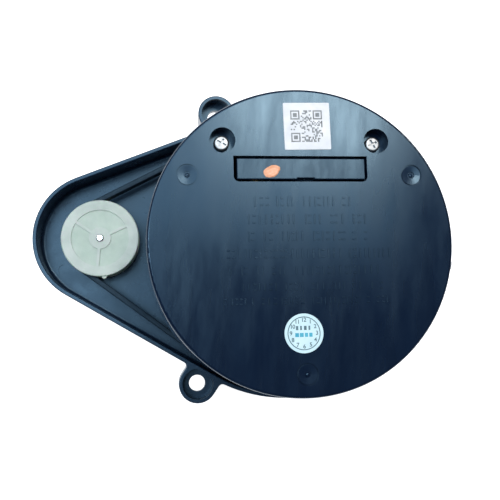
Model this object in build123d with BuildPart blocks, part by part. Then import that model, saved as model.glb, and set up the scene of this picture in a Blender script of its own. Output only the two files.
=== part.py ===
from build123d import *
from math import cos, radians, sin
import os

# A belt driven spinning range finder. Origin: turret axis, on the underside of the three lugs.
# +Z up, the drive motor stands towards -X. All sizes in millimetres.
os.makedirs("parts", exist_ok=True)

# ---- driving dimensions: base ----
BASE_R = 42.5  # round end of the teardrop base
NOSE_R = 18.8  # motor end of the teardrop base
CENTRES = 53.9  # turret axis to motor axis
RIM_TOP = 7.0
RIM_WALL = 1.2
FLOOR_TOP = -2.5
FLOOR_T = 2.0
FLOOR_UNDER = FLOOR_TOP - FLOOR_T
LUG_RING_R = 46.0
LUG_R = 5.4
LUG_CUP_R = 4.4
LUG_FLOOR = 2.0
LUG_HOLE_R = 2.35
LUG_ANGLES = (0, 120, 240)
NECK_FILLET = 1.2
BOTTOM = -16.8  # underside of the bottom cover
TUB_R = 27.0  # electronics tub under the base
TUB_WALL = 2.0
COVER_T = 1.8
TUB_END = BOTTOM + COVER_T

# ---- driving dimensions: turret ----
TURRET_YAW = 4.9  # how far the turret is turned at rest
CAP_R = 40.0
CAP_TOP = 34.5
CAP_T = 2.2
CAP_WALL = 1.8
CAP_EDGE = 0.8
PLATE_BOTTOM = 5.0
PLATE_TOP = 6.6
CAP_SCREW_X, CAP_SCREW_Y = 20.3, 26.15
SEAT_R, SEAT_DEPTH = 3.35, 4.3  # counterbore of each cap screw
BOSS_FOOT = 28.4  # where the cap bosses meet the turret posts
SLOT_X = 17.6
SLOT_Y0, SLOT_Y1 = 15.3, 22.05
GATE_RING_R = 34.0

# ---- driving dimensions: belt drive ----
BELT_T, BELT_H = 1.5, 4.0
BELT_Z = 2.7  # middle of the belt
BELT_GAP = 0.1  # air between the belt and the bottom of each groove
BIG_GROOVE_R = 38.0
BIG_FLANGE_R = 40.5
SMALL_GROOVE_R = 9.4
SMALL_FLANGE_R = 11.05
PULLEY_TOP = 6.5
GROOVE_LOW, GROOVE_HIGH = 0.4, 5.0
FLANGE_LOW = -0.9
SHAFT_R = 1.0

# ---- driving dimensions: bearing and hub ----
HUB_R, HUB_BORE = 12.5, 10.5
BEARING_R = 18.5
BEARING_Z0, BEARING_Z1 = -8.0, -1.0
BALL_R, BALL_RING_R, BALLS = 1.5, 15.5, 18
RACE_GAP = 0.03

# ---- driving dimensions: motor ----
MOTOR_R = 12.1
MOTOR_Z1 = FLOOR_UNDER
MOTOR_Z0 = BOTTOM + 0.2
MOTOR_WALL = 0.8

# ---- driving dimensions: optics ----
LENS_Z = 19.6
EMITTER_X, EMITTER_R = -9.6, 4.6
RECEIVER_X, RECEIVER_R = 6.6, 7.2
HOLDER_Y0, HOLDER_Y1 = 16.0, 29.3
HOLDER_Z0, HOLDER_Z1 = 9.0, 30.9
TONGUE_X0, TONGUE_X1 = -16.75, 17.1
TONGUE_Y0, TONGUE_Y1 = 16.0, 21.5
TONGUE_TOP = 34.2

MOTOR = Plane((-CENTRES, 0, 0))
YAW = (cos(radians(TURRET_YAW)), sin(radians(TURRET_YAW)), 0)
LUGS = [Location((LUG_RING_R * cos(radians(a)), LUG_RING_R * sin(radians(a)), 0)) for a in LUG_ANGLES]


def turret(height):
    """The turret's own horizontal plane at a height, turned to its rest angle."""
    return Plane((0, 0, height), x_dir=YAW)


def turret_front(y):
    """The upright plane facing the turret's front at a distance y: x to the turret's left, y up."""
    point = Vector(-YAW[1] * y, YAW[0] * y, 0)
    return Plane(point, x_dir=(-YAW[0], -YAW[1], 0), z_dir=(-YAW[1], YAW[0], 0))


def teardrop(height, inset):
    """The outline round the base circle and the nose circle, drawn in by an inset."""
    with BuildSketch(Plane.XY.offset(height)) as outline:
        Circle(BASE_R - inset)
        with Locations((-CENTRES, 0)):
            Circle(NOSE_R - inset)
        make_hull()
    return outline.sketch


def lug_outline(height):
    """The teardrop with its three lugs, their necks rounded."""
    with BuildSketch(Plane.XY.offset(height)) as outline:
        add(teardrop(0, 0))
        for angle in LUG_ANGLES:
            with Locations(Location((0, 0, 0), (0, 0, angle))):
                with Locations((LUG_RING_R, 0)):
                    Circle(LUG_R)
                with Locations((LUG_RING_R - LUG_R, 0)):
                    Rectangle(2 * LUG_R, 2 * LUG_R)
        necks = [v for v in outline.vertices() if (v.X**2 + v.Y**2) ** 0.5 > BASE_R - 0.2 and v.X > -32]
        necks = [v for v in necks if (v.X**2 + v.Y**2) ** 0.5 < LUG_RING_R - 1.5]
        fillet(necks, NECK_FILLET)
    return outline.sketch


def ring(outer, inner, bottom, top, plane=Plane.XY):
    """A plain tube, for the pieces that are one."""
    with BuildPart() as tube:
        with BuildSketch(plane.offset(bottom)):
            Circle(outer)
            if inner:
                Circle(inner, mode=Mode.SUBTRACT)
        extrude(amount=top - bottom)
    return tube.part


def pan_screw(head_r, head_h, shank_r, length):
    """A cross-recess pan head screw, head up, its seat at height 0."""
    with BuildPart() as screw:
        Cylinder(head_r, head_h, align=(Align.CENTER, Align.CENTER, Align.MIN))
        fillet(screw.edges().group_by(Axis.Z)[-1], head_h * 0.45)
        with Locations((0, 0, head_h)):
            Box(head_r * 1.25, head_r * 0.28, head_h, mode=Mode.SUBTRACT)
            Box(head_r * 0.28, head_r * 1.25, head_h, mode=Mode.SUBTRACT)
        Cylinder(shank_r, length, align=(Align.CENTER, Align.CENTER, Align.MAX))
        chamfer(screw.faces().sort_by(Axis.Z)[0].edges(), shank_r * 0.4)
    return screw.part


# ================= base =================
COVER_SCREWS = [Location((23.0 * cos(radians(a)), 23.0 * sin(radians(a)), 0)) for a in (45, 135, 225, 315)]
BOARD_POSTS = [Location((17.5 * cos(radians(a)), 17.5 * sin(radians(a)), 0)) for a in (90, 210, 330)]
BOARD_TOP, BOARD_T = -12.0, 1.6
SEAT_TUBE_R = 20.3
SEAT_LIP_R = 16.2
SEAT_LIP_T = 1.5
HEADER_W, HEADER_Z0, HEADER_Z1 = 10.6, BOARD_TOP, -6.8
HEADER_Y0, HEADER_Y1 = -27.4, -21.0
MOTOR_NOSE_R = 3.0
MOTOR_SCREW_Y = 8.0
TERMINAL_Y = 3.0
LEAD_WAY_Z, LEAD_WAY_W = -11.2, 5.4
CUP_RIB_T = 1.2
EJECTOR_MARKS = ((-64.3, 9.4), (-64.3, -9.4))

with BuildPart() as base_frame:
    extrude(teardrop(FLOOR_UNDER, 0), amount=RIM_TOP - FLOOR_UNDER)
    extrude(lug_outline(0), amount=RIM_TOP)
    # the open pan, with a rounded foot to its wall
    extrude(teardrop(FLOOR_TOP, RIM_WALL), amount=RIM_TOP - FLOOR_TOP, mode=Mode.SUBTRACT)
    foot = base_frame.edges().filter_by_position(Axis.Z, FLOOR_TOP - 0.01, FLOOR_TOP + 0.01)
    fillet(foot, 0.9)
    # soft outer edges of the rim
    brim = base_frame.faces().filter_by_position(Axis.Z, RIM_TOP - 0.01, RIM_TOP + 0.01)
    fillet(brim.sort_by(SortBy.AREA)[-1].edges(), 0.3)
    # marks of two ejector pins in the floor of the nose
    with BuildSketch(Plane.XY.offset(FLOOR_TOP)):
        with Locations(*EJECTOR_MARKS):
            Circle(1.7)
    extrude(amount=-0.2, mode=Mode.SUBTRACT)
    # cups and holes of the lugs; the pan's own wall stays whole
    with BuildSketch(Plane.XY.offset(LUG_FLOOR)):
        with Locations(LUGS):
            Circle(LUG_CUP_R)
        Circle(BASE_R + 0.15, mode=Mode.SUBTRACT)
    extrude(amount=RIM_TOP - LUG_FLOOR, mode=Mode.SUBTRACT)
    with BuildSketch(Plane.XY):
        with Locations(LUGS):
            Circle(LUG_HOLE_R)
    extrude(amount=LUG_FLOOR, mode=Mode.SUBTRACT)
    # electronics tub below the floor
    with BuildSketch(Plane.XY.offset(TUB_END)):
        Circle(TUB_R)
        Circle(TUB_R - TUB_WALL, mode=Mode.SUBTRACT)
    extrude(amount=FLOOR_UNDER - TUB_END)
    with BuildSketch(Plane.XY.offset(TUB_END)):
        with Locations(COVER_SCREWS):
            Circle(2.5)
    extrude(amount=FLOOR_UNDER - TUB_END)
    with BuildSketch(Plane.XY.offset(TUB_END)):
        with Locations(COVER_SCREWS):
            Circle(0.9)
    extrude(amount=7.0, mode=Mode.SUBTRACT)
    # bearing seat: a tube through the floor with a lip below
    with BuildSketch(Plane.XY.offset(BEARING_Z0 - SEAT_LIP_T)):
        Circle(SEAT_TUBE_R)
    extrude(amount=BEARING_Z1 - BEARING_Z0 + SEAT_LIP_T)
    with BuildSketch(Plane.XY.offset(BEARING_Z0)):
        Circle(BEARING_R)
    extrude(amount=BEARING_Z1 - BEARING_Z0, mode=Mode.SUBTRACT)
    with BuildSketch(Plane.XY.offset(BEARING_Z0 - SEAT_LIP_T)):
        Circle(SEAT_LIP_R)
    extrude(amount=SEAT_LIP_T, mode=Mode.SUBTRACT)
    # posts that carry the interface board
    with BuildSketch(Plane.XY.offset(BOARD_TOP)):
        with Locations(BOARD_POSTS):
            Circle(2.0)
    extrude(amount=BEARING_Z0 - SEAT_LIP_T - BOARD_TOP)
    with BuildSketch(Plane.XY.offset(BOARD_TOP)):
        with Locations(BOARD_POSTS):
            Circle(0.8)
    extrude(amount=2.4, mode=Mode.SUBTRACT)
    # skirt that locates the motor can, and its nose and screw holes
    with BuildSketch(MOTOR.offset(FLOOR_UNDER - 5.0)):
        Circle(MOTOR_R + 1.6)
        Circle(MOTOR_R + 0.1, mode=Mode.SUBTRACT)
    extrude(amount=5.0)
    with BuildSketch(MOTOR.offset(FLOOR_TOP)):
        Circle(5.0)
    extrude(amount=0.5)
    with BuildSketch(MOTOR.offset(FLOOR_UNDER)):
        Circle(MOTOR_NOSE_R + 0.1)
        with Locations((0, MOTOR_SCREW_Y), (0, -MOTOR_SCREW_Y)):
            Circle(1.15)
    extrude(amount=FLOOR_T + 0.5, mode=Mode.SUBTRACT)
    # a cable way from the motor to the tub, between two ribs under the floor
    with BuildSketch(Plane.XY.offset(FLOOR_UNDER - 6.0)):
        with Locations((-(CENTRES - MOTOR_R - 1.0 + TUB_R) / 2, 5.0), (-(CENTRES - MOTOR_R - 1.0 + TUB_R) / 2, -5.0)):
            Rectangle(CENTRES - MOTOR_R - TUB_R, 1.2)
    extrude(amount=6.0)
    with BuildSketch(Plane.YZ.offset(-TUB_R - 0.5)):
        with Locations((0, LEAD_WAY_Z)):
            Rectangle(LEAD_WAY_W, 2.6)
    extrude(amount=TUB_WALL + 1.0, mode=Mode.SUBTRACT)
    with BuildSketch(MOTOR.offset(FLOOR_UNDER - 5.0)):
        with Locations((MOTOR_R + 1.0, 0)):
            Rectangle(3.0, LEAD_WAY_W)
    extrude(amount=3.4, mode=Mode.SUBTRACT)
    # radial ribs from the tub to the lugs and between them
    for angle in (0, 60, 120, 240, 300):
        with BuildSketch(Plane.XY.offset(FLOOR_UNDER - 4.0)):
            with Locations(Location((0, 0, 0), (0, 0, angle))):
                with Locations(((TUB_R + BASE_R - 1.0) / 2, 0)):
                    Rectangle(BASE_R - TUB_R, CUP_RIB_T)
        extrude(amount=4.0)
    # window in the tub wall for the wire header
    with BuildSketch(Plane.XZ.offset(TUB_R - TUB_WALL - 2.0)):
        with Locations((0, (HEADER_Z0 + HEADER_Z1) / 2)):
            Rectangle(HEADER_W + 0.6, HEADER_Z1 - HEADER_Z0 + 0.6)
    extrude(amount=TUB_WALL + 3.0, mode=Mode.SUBTRACT)
base_frame.part.label = "base_frame"
export_step(base_frame.part, "parts/base_frame.step")

with BuildPart() as bottom_cover:
    with BuildSketch(Plane.XY.offset(BOTTOM)):
        Circle(TUB_R)
    extrude(amount=COVER_T)
    chamfer(bottom_cover.faces().sort_by(Axis.Z)[0].edges(), 0.5)
    with BuildSketch(Plane.XY.offset(BOTTOM)):
        with Locations(COVER_SCREWS):
            Circle(2.1)
    extrude(amount=1.0, mode=Mode.SUBTRACT)
    with BuildSketch(Plane.XY.offset(BOTTOM)):
        with Locations(COVER_SCREWS):
            Circle(1.15)
    extrude(amount=COVER_T, mode=Mode.SUBTRACT)
    # a low locating ring inside the tub, and eight vents
    with BuildSketch(Plane.XY.offset(TUB_END)):
        Circle(20.2)
        Circle(19.2, mode=Mode.SUBTRACT)
    extrude(amount=0.6)
    with BuildSketch(Plane.XY.offset(BOTTOM)):
        with PolarLocations(13.0, 8):
            SlotOverall(6.0, 1.4)
    extrude(amount=COVER_T, mode=Mode.SUBTRACT)
bottom_cover.part.label = "bottom_cover"
export_step(bottom_cover.part, "parts/bottom_cover.step")

COVER_SCREW = pan_screw(1.9, 0.95, 0.9, 6.5)
with BuildPart() as bottom_cover_screws:
    for place in COVER_SCREWS:
        x, y, _ = place.position
        add(COVER_SCREW.rotate(Axis.X, 180).moved(Location((x, y, BOTTOM + 1.0))))
bottom_cover_screws.part.label = "bottom_cover_screws"
export_step(bottom_cover_screws.part, "parts/bottom_cover_screws.step")

# ================= interface board and what stands on it =================
with BuildPart() as interface_board:
    with BuildSketch(Plane.XY.offset(BOARD_TOP - BOARD_T)):
        Circle(20.0)
        with Locations((0, -21.2)):
            Rectangle(12.0, 6.0)
        with Locations(BOARD_POSTS):
            Circle(1.1, mode=Mode.SUBTRACT)
    extrude(amount=BOARD_T)
interface_board.part.label = "interface_board"
export_step(interface_board.part, "parts/interface_board.step")

BOARD_SCREW = pan_screw(1.7, 0.9, 0.8, 3.6)
with BuildPart() as interface_board_screws:
    for place in BOARD_POSTS:
        x, y, _ = place.position
        add(BOARD_SCREW.rotate(Axis.X, 180).moved(Location((x, y, BOARD_TOP - BOARD_T))))
interface_board_screws.part.label = "interface_board_screws"
export_step(interface_board_screws.part, "parts/interface_board_screws.step")

CHIP_Z1 = BOARD_TOP + 1.1
with BuildPart() as interface_chips:
    for x, y, long_side, short_side in ((-13.0, 4.5, 5.0, 5.0), (13.0, 5.0, 4.0, 3.0), (0.0, -13.0, 3.2, 2.5)):
        with BuildSketch(Plane.XY.offset(BOARD_TOP)):
            with Locations((x, y)):
                Rectangle(long_side, short_side)
        extrude(amount=CHIP_Z1 - BOARD_TOP)
interface_chips.part.label = "interface_chips"
export_step(interface_chips.part, "parts/interface_chips.step")

PIN_PITCH, PINS, HEADER_WALL = 1.5, 5, 0.8
with BuildPart() as wire_header:
    with BuildSketch(Plane.XZ.offset(-HEADER_Y1)):
        with Locations((0, (HEADER_Z0 + HEADER_Z1) / 2)):
            Rectangle(HEADER_W, HEADER_Z1 - HEADER_Z0)
    extrude(amount=HEADER_Y1 - HEADER_Y0)
    with BuildSketch(Plane.XZ.offset(-HEADER_Y0)):
        with Locations((0, (HEADER_Z0 + HEADER_Z1) / 2)):
            Rectangle(HEADER_W - 2 * HEADER_WALL, HEADER_Z1 - HEADER_Z0 - 2 * HEADER_WALL)
        with Locations((0, HEADER_Z1)):
            Rectangle(3.0, 2.0)
    extrude(amount=-5.0, mode=Mode.SUBTRACT)
    with BuildSketch(Plane.XZ.offset(-HEADER_Y1)):
        with Locations((0, (HEADER_Z0 + HEADER_Z1) / 2)):
            with GridLocations(PIN_PITCH, 1, PINS, 1):
                Rectangle(0.5, 0.5)
    extrude(amount=2.5, mode=Mode.SUBTRACT)
wire_header.part.label = "wire_header"
export_step(wire_header.part, "parts/wire_header.step")

with BuildPart() as header_pins:
    with BuildSketch(Plane.XZ.offset(-HEADER_Y1)):
        with Locations((0, (HEADER_Z0 + HEADER_Z1) / 2)):
            with GridLocations(PIN_PITCH, 1, PINS, 1):
                Rectangle(0.5, 0.5)
    extrude(amount=4.8)
header_pins.part.label = "header_pins"
export_step(header_pins.part, "parts/header_pins.step")

CORE_R, CORE_WALL, CORE_H, CORE_GAP = 9.6, 1.3, 5.0, 0.6
CORE_POST_R, CORE_BORE_R = 3.6, 2.0
FIXED_CORE_TOP = -CORE_GAP
with BuildPart() as coil_pedestal:
    with BuildSketch(Plane.XY.offset(BOARD_TOP)):
        Circle(8.0)
        Circle(CORE_BORE_R, mode=Mode.SUBTRACT)
    extrude(amount=FIXED_CORE_TOP - CORE_H - BOARD_TOP)
coil_pedestal.part.label = "coil_pedestal"
export_step(coil_pedestal.part, "parts/coil_pedestal.step")


def pot_core(back, mouth):
    """Half a ferrite pot core: a back plate, an outer wall and a bored middle post."""
    step = CORE_WALL if mouth > back else -CORE_WALL
    with BuildPart() as core:
        with BuildSketch(Plane.XY.offset(min(back, mouth))):
            Circle(CORE_R)
            Circle(CORE_BORE_R, mode=Mode.SUBTRACT)
        extrude(amount=abs(mouth - back))
        with BuildSketch(Plane.XY.offset(min(back + step, mouth))):
            Circle(CORE_R - CORE_WALL)
            Circle(CORE_POST_R, mode=Mode.SUBTRACT)
        extrude(amount=abs(mouth - back - step), mode=Mode.SUBTRACT)
    return core.part


with BuildPart() as fixed_ferrite:
    add(pot_core(FIXED_CORE_TOP - CORE_H, FIXED_CORE_TOP))
fixed_ferrite.part.label = "fixed_ferrite"
export_step(fixed_ferrite.part, "parts/fixed_ferrite.step")

with BuildPart() as fixed_coil:
    add(ring(CORE_R - CORE_WALL - 0.3, CORE_POST_R + 0.3, FIXED_CORE_TOP - CORE_H + CORE_WALL, FIXED_CORE_TOP - 0.2))
fixed_coil.part.label = "fixed_coil"
export_step(fixed_coil.part, "parts/fixed_coil.step")

with BuildPart() as link_photodiode:
    with Locations((0, 0, BOARD_TOP)):
        Cylinder(1.5, 8.0, align=(Align.CENTER, Align.CENTER, Align.MIN))
    fillet(link_photodiode.edges().group_by(Axis.Z)[-1], 1.2)
link_photodiode.part.label = "link_photodiode"
export_step(link_photodiode.part, "parts/link_photodiode.step")

ENCODER_R0, ENCODER_R1, ENCODER_TEETH = 30.0, 31.0, 30
with BuildPart() as encoder_ring:
    with BuildSketch(Plane.XY.offset(FLOOR_TOP)):
        Circle(ENCODER_R1)
        Circle(ENCODER_R0, mode=Mode.SUBTRACT)
    extrude(amount=4.7)
    for tooth in range(ENCODER_TEETH):
        width = 1.2 if tooth == 0 else 3.0
        with BuildSketch(Plane.XY.offset(FLOOR_TOP + 2.0)):
            with Locations(Location((0, 0, 0), (0, 0, 360 / ENCODER_TEETH * (tooth + 0.5)))):
                with Locations(((ENCODER_R0 + ENCODER_R1) / 2, 0)):
                    Rectangle(3.0, width)
        extrude(amount=2.7, mode=Mode.SUBTRACT)
encoder_ring.part.label = "encoder_ring"
export_step(encoder_ring.part, "parts/encoder_ring.step")

# ================= ball bearing =================
BEARING_MID = (BEARING_Z0 + BEARING_Z1) / 2
INNER_RACE_R, OUTER_RACE_R = 14.3, 16.7
RACE_EDGE = 0.4


def race(outer, inner):
    """A bearing race between two radii, its ball groove cut by a ring a little larger than the balls."""
    with BuildPart() as body:
        add(ring(outer, inner, BEARING_Z0, BEARING_Z1))
        chamfer(body.edges().filter_by(GeomType.CIRCLE), RACE_EDGE * 0.5)
        with Locations((0, 0, BEARING_MID)):
            Torus(BALL_RING_R, BALL_R + RACE_GAP, mode=Mode.SUBTRACT)
    return body.part


with BuildPart() as bearing_outer_race:
    add(race(BEARING_R, OUTER_RACE_R))
bearing_outer_race.part.label = "bearing_outer_race"
export_step(bearing_outer_race.part, "parts/bearing_outer_race.step")

with BuildPart() as bearing_inner_race:
    add(race(INNER_RACE_R, HUB_R))
bearing_inner_race.part.label = "bearing_inner_race"
export_step(bearing_inner_race.part, "parts/bearing_inner_race.step")

with BuildPart() as bearing_balls:
    with Locations((0, 0, BEARING_MID)):
        with PolarLocations(BALL_RING_R, BALLS):
            Sphere(BALL_R)
bearing_balls.part.label = "bearing_balls"
export_step(bearing_balls.part, "parts/bearing_balls.step")

with BuildPart() as bearing_cage:
    add(ring(OUTER_RACE_R - 0.35, INNER_RACE_R + 0.35, BEARING_MID - 1.9, BEARING_MID + 1.9))
    for ball in range(BALLS):
        with BuildSketch(Plane((0, 0, BEARING_MID), z_dir=Vector(1, 0, 0).rotate(Axis.Z, 360 / BALLS * ball))):
            Circle(BALL_R + 0.04)
        extrude(amount=OUTER_RACE_R + 1, mode=Mode.SUBTRACT)
bearing_cage.part.label = "bearing_cage"
export_step(bearing_cage.part, "parts/bearing_cage.step")

# ================= drive motor =================
with BuildPart() as motor_can:
    with BuildSketch(MOTOR.offset(MOTOR_Z0 + 1.2)):
        Circle(MOTOR_R)
    extrude(amount=MOTOR_Z1 - MOTOR_Z0 - 1.2)
    fillet(motor_can.edges().group_by(Axis.Z)[-1], 0.8)
    with BuildSketch(MOTOR.offset(MOTOR_Z1)):
        Circle(MOTOR_NOSE_R)
    extrude(amount=1.4)
    with BuildSketch(MOTOR.offset(MOTOR_Z0 + 1.2)):
        Circle(MOTOR_R - MOTOR_WALL)
    extrude(amount=MOTOR_Z1 - MOTOR_Z0 - 1.2 - MOTOR_WALL, mode=Mode.SUBTRACT)
    with BuildSketch(MOTOR.offset(MOTOR_Z1 - MOTOR_WALL)):
        Circle(1.9)
        with Locations((0, MOTOR_SCREW_Y), (0, -MOTOR_SCREW_Y)):
            Circle(0.95)
    extrude(amount=MOTOR_WALL + 1.4, mode=Mode.SUBTRACT)
motor_can.part.label = "motor_can"
export_step(motor_can.part, "parts/motor_can.step")

BRUSH_END = 5.7
with BuildPart() as motor_end_cap:
    with BuildSketch(MOTOR.offset(MOTOR_Z0)):
        Circle(MOTOR_R - 0.3)
    extrude(amount=1.2)
    chamfer(motor_end_cap.faces().sort_by(Axis.Z)[0].edges(), 0.4)
    with BuildSketch(MOTOR.offset(MOTOR_Z0 + 1.2)):
        Circle(MOTOR_R - MOTOR_WALL)
        Circle(MOTOR_R - MOTOR_WALL - 1.0, mode=Mode.SUBTRACT)
    extrude(amount=0.8)
    with BuildSketch(MOTOR.offset(MOTOR_Z0 + 1.2)):
        Circle(2.6)
        Circle(SHAFT_R + 0.04, mode=Mode.SUBTRACT)
    extrude(amount=1.0)
    with BuildSketch(MOTOR.offset(MOTOR_Z0 + 1.2)):
        with Locations((0, BRUSH_END + 0.8), (0, -BRUSH_END - 0.8)):
            Rectangle(2.6, 1.6)
    extrude(amount=1.9)
    with BuildSketch(MOTOR.offset(MOTOR_Z0 + 0.35)):
        with Locations((MOTOR_R - 2.0, TERMINAL_Y), (MOTOR_R - 2.0, -TERMINAL_Y)):
            Rectangle(4.6, 1.5)
    extrude(amount=0.4, mode=Mode.SUBTRACT)
motor_end_cap.part.label = "motor_end_cap"
export_step(motor_end_cap.part, "parts/motor_end_cap.step")

with BuildPart() as motor_terminals:
    with BuildSketch(MOTOR.offset(MOTOR_Z0 + 0.35)):
        with Locations((MOTOR_R - 1.05, TERMINAL_Y), (MOTOR_R - 1.05, -TERMINAL_Y)):
            Rectangle(6.5, 1.5)
    extrude(amount=0.4)
motor_terminals.part.label = "motor_terminals"
export_step(motor_terminals.part, "parts/motor_terminals.step")

with BuildPart() as motor_bush:
    add(ring(1.9, SHAFT_R + 0.03, MOTOR_Z1 - MOTOR_WALL, MOTOR_Z1 + 1.4, MOTOR))
motor_bush.part.label = "motor_bush"
export_step(motor_bush.part, "parts/motor_bush.step")

with BuildPart() as motor_magnets:
    with BuildSketch(MOTOR.offset(MOTOR_Z0 + 3.2)):
        Circle(MOTOR_R - MOTOR_WALL)
        Circle(MOTOR_R - MOTOR_WALL - 2.0, mode=Mode.SUBTRACT)
        Rectangle(30.0, 4.0, mode=Mode.SUBTRACT)
    extrude(amount=7.2)
motor_magnets.part.label = "motor_magnets"
export_step(motor_magnets.part, "parts/motor_magnets.step")

with BuildPart() as motor_rotor_core:
    with BuildSketch(MOTOR.offset(MOTOR_Z0 + 4.2)):
        Circle(8.6)
        with PolarLocations(7.3, 5):
            SlotOverall(3.4, 2.2, mode=Mode.SUBTRACT)
        Circle(SHAFT_R, mode=Mode.SUBTRACT)
    extrude(amount=5.4)
motor_rotor_core.part.label = "motor_rotor_core"
export_step(motor_rotor_core.part, "parts/motor_rotor_core.step")

with BuildPart() as motor_commutator:
    add(ring(2.2, SHAFT_R, MOTOR_Z0 + 2.3, MOTOR_Z0 + 4.2, MOTOR))
motor_commutator.part.label = "motor_commutator"
export_step(motor_commutator.part, "parts/motor_commutator.step")

with BuildPart() as motor_brushes:
    with BuildSketch(MOTOR.offset(MOTOR_Z0 + 2.4)):
        with Locations((0, BRUSH_END - 1.7), (0, 1.7 - BRUSH_END)):
            Rectangle(1.4, 3.4)
    extrude(amount=0.7)
motor_brushes.part.label = "motor_brushes"
export_step(motor_brushes.part, "parts/motor_brushes.step")

MOTOR_SCREW = pan_screw(1.8, 0.9, 0.95, FLOOR_T + MOTOR_WALL)
with BuildPart() as motor_screws:
    for side in (1, -1):
        add(MOTOR_SCREW.moved(Location((-CENTRES, side * MOTOR_SCREW_Y, FLOOR_TOP))))
motor_screws.part.label = "motor_screws"
export_step(motor_screws.part, "parts/motor_screws.step")

# ================= motor shaft and pulley =================
with BuildPart() as motor_shaft:
    with BuildSketch(MOTOR.offset(MOTOR_Z0 + 1.3)):
        Circle(SHAFT_R)
    extrude(amount=PULLEY_TOP + 0.7 - MOTOR_Z0 - 1.3)
    chamfer(motor_shaft.edges().group_by(Axis.Z)[-1], 0.25)
motor_shaft.part.label = "motor_shaft"
export_step(motor_shaft.part, "parts/motor_shaft.step")

PULLEY_BOTTOM = -1.4
RIM_BAND = 2.9  # width of the raised rim on the pulley's face
PULLEY_HUB_R = 3.1
FACE_DROP = 0.3  # how deep the web lies below the rim
with BuildPart() as motor_pulley:
    with BuildSketch(MOTOR.offset(FLANGE_LOW)):
        Circle(SMALL_FLANGE_R)
    extrude(amount=PULLEY_TOP - FLANGE_LOW)
    fillet(motor_pulley.edges().group_by(Axis.Z)[-1], 0.35)
    with BuildSketch(MOTOR.offset(GROOVE_LOW)):
        Circle(SMALL_FLANGE_R + 1)
        Circle(SMALL_GROOVE_R, mode=Mode.SUBTRACT)
    extrude(amount=GROOVE_HIGH - GROOVE_LOW, mode=Mode.SUBTRACT)
    # dished face: hub, thin spokes and rim stand above the web
    with BuildSketch(MOTOR.offset(PULLEY_TOP - FACE_DROP)):
        Circle(SMALL_FLANGE_R - RIM_BAND)
        Circle(PULLEY_HUB_R, mode=Mode.SUBTRACT)
        with Locations(*(Location((0, 0, 0), (0, 0, a)) for a in (30, 150, 270))):
            with Locations((SMALL_FLANGE_R / 2, 0)):
                Rectangle(SMALL_FLANGE_R, 0.8, mode=Mode.SUBTRACT)
    extrude(amount=FACE_DROP, mode=Mode.SUBTRACT)
    # hollow underside round the hub
    with BuildSketch(MOTOR.offset(FLANGE_LOW)):
        Circle(SMALL_GROOVE_R - 1.4)
        Circle(PULLEY_HUB_R, mode=Mode.SUBTRACT)
    extrude(amount=4.8, mode=Mode.SUBTRACT)
    with BuildSketch(MOTOR.offset(PULLEY_BOTTOM)):
        Circle(PULLEY_HUB_R)
    extrude(amount=FLANGE_LOW - PULLEY_BOTTOM)
    # the moulding gate left on the rim
    with BuildSketch(MOTOR.offset(PULLEY_TOP - 1.2)):
        with Locations(Location((0, 0, 0), (0, 0, -79))):
            with Locations((SMALL_FLANGE_R, 0)):
                Circle(0.7)
    extrude(amount=0.8)
    with BuildSketch(MOTOR.offset(PULLEY_BOTTOM)):
        Circle(SHAFT_R)
    extrude(amount=PULLEY_TOP - PULLEY_BOTTOM, mode=Mode.SUBTRACT)
motor_pulley.part.label = "motor_pulley"
export_step(motor_pulley.part, "parts/motor_pulley.step")

# ================= drive belt: a flat loop round both grooves =================
with BuildPart() as drive_belt:
    for grow, mode in ((BELT_T, Mode.ADD), (0.0, Mode.SUBTRACT)):
        with BuildSketch(Plane.XY.offset(BELT_Z - BELT_H / 2)):
            Circle(BIG_GROOVE_R + BELT_GAP + grow)
            with Locations((-CENTRES, 0)):
                Circle(SMALL_GROOVE_R + BELT_GAP + grow)
            make_hull()
        extrude(amount=BELT_H, mode=mode)
drive_belt.part.label = "drive_belt"
export_step(drive_belt.part, "parts/drive_belt.step")

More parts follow.
